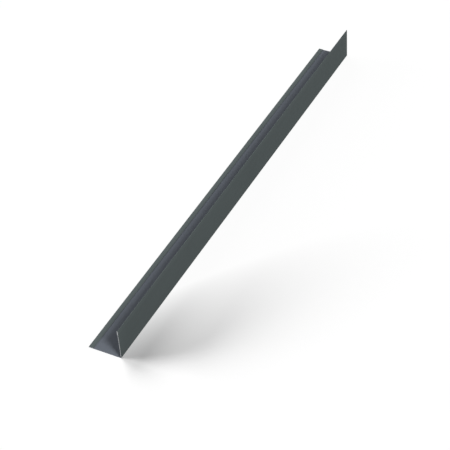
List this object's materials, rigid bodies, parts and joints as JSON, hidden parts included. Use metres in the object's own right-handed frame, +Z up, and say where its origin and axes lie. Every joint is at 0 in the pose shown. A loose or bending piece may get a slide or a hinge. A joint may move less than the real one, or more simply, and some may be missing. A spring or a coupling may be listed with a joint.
{
  "type": "outside corner trim",
  "caption": "Long strip of coated sheet folded lengthwise to a square angle with equal legs, each free edge turned back inside as a flattened hem, for covering an outside corner.",
  "frame": {"origin": "centre of the box around the trim, on the level of the flat leg's outside face, which is the floor it lies on", "axes": "+Y along the trim's length, +X from the flat leg's hemmed edge to the standing leg's outside face, +Z up along the standing leg"},
  "size_m": [0.135, 2, 0.135],
  "materials": {
    "coated_sheet": "satin"
  },
  "bodies": {
    "root": {"corner_trim": "coated_sheet"}
  },
  "joints": []
}
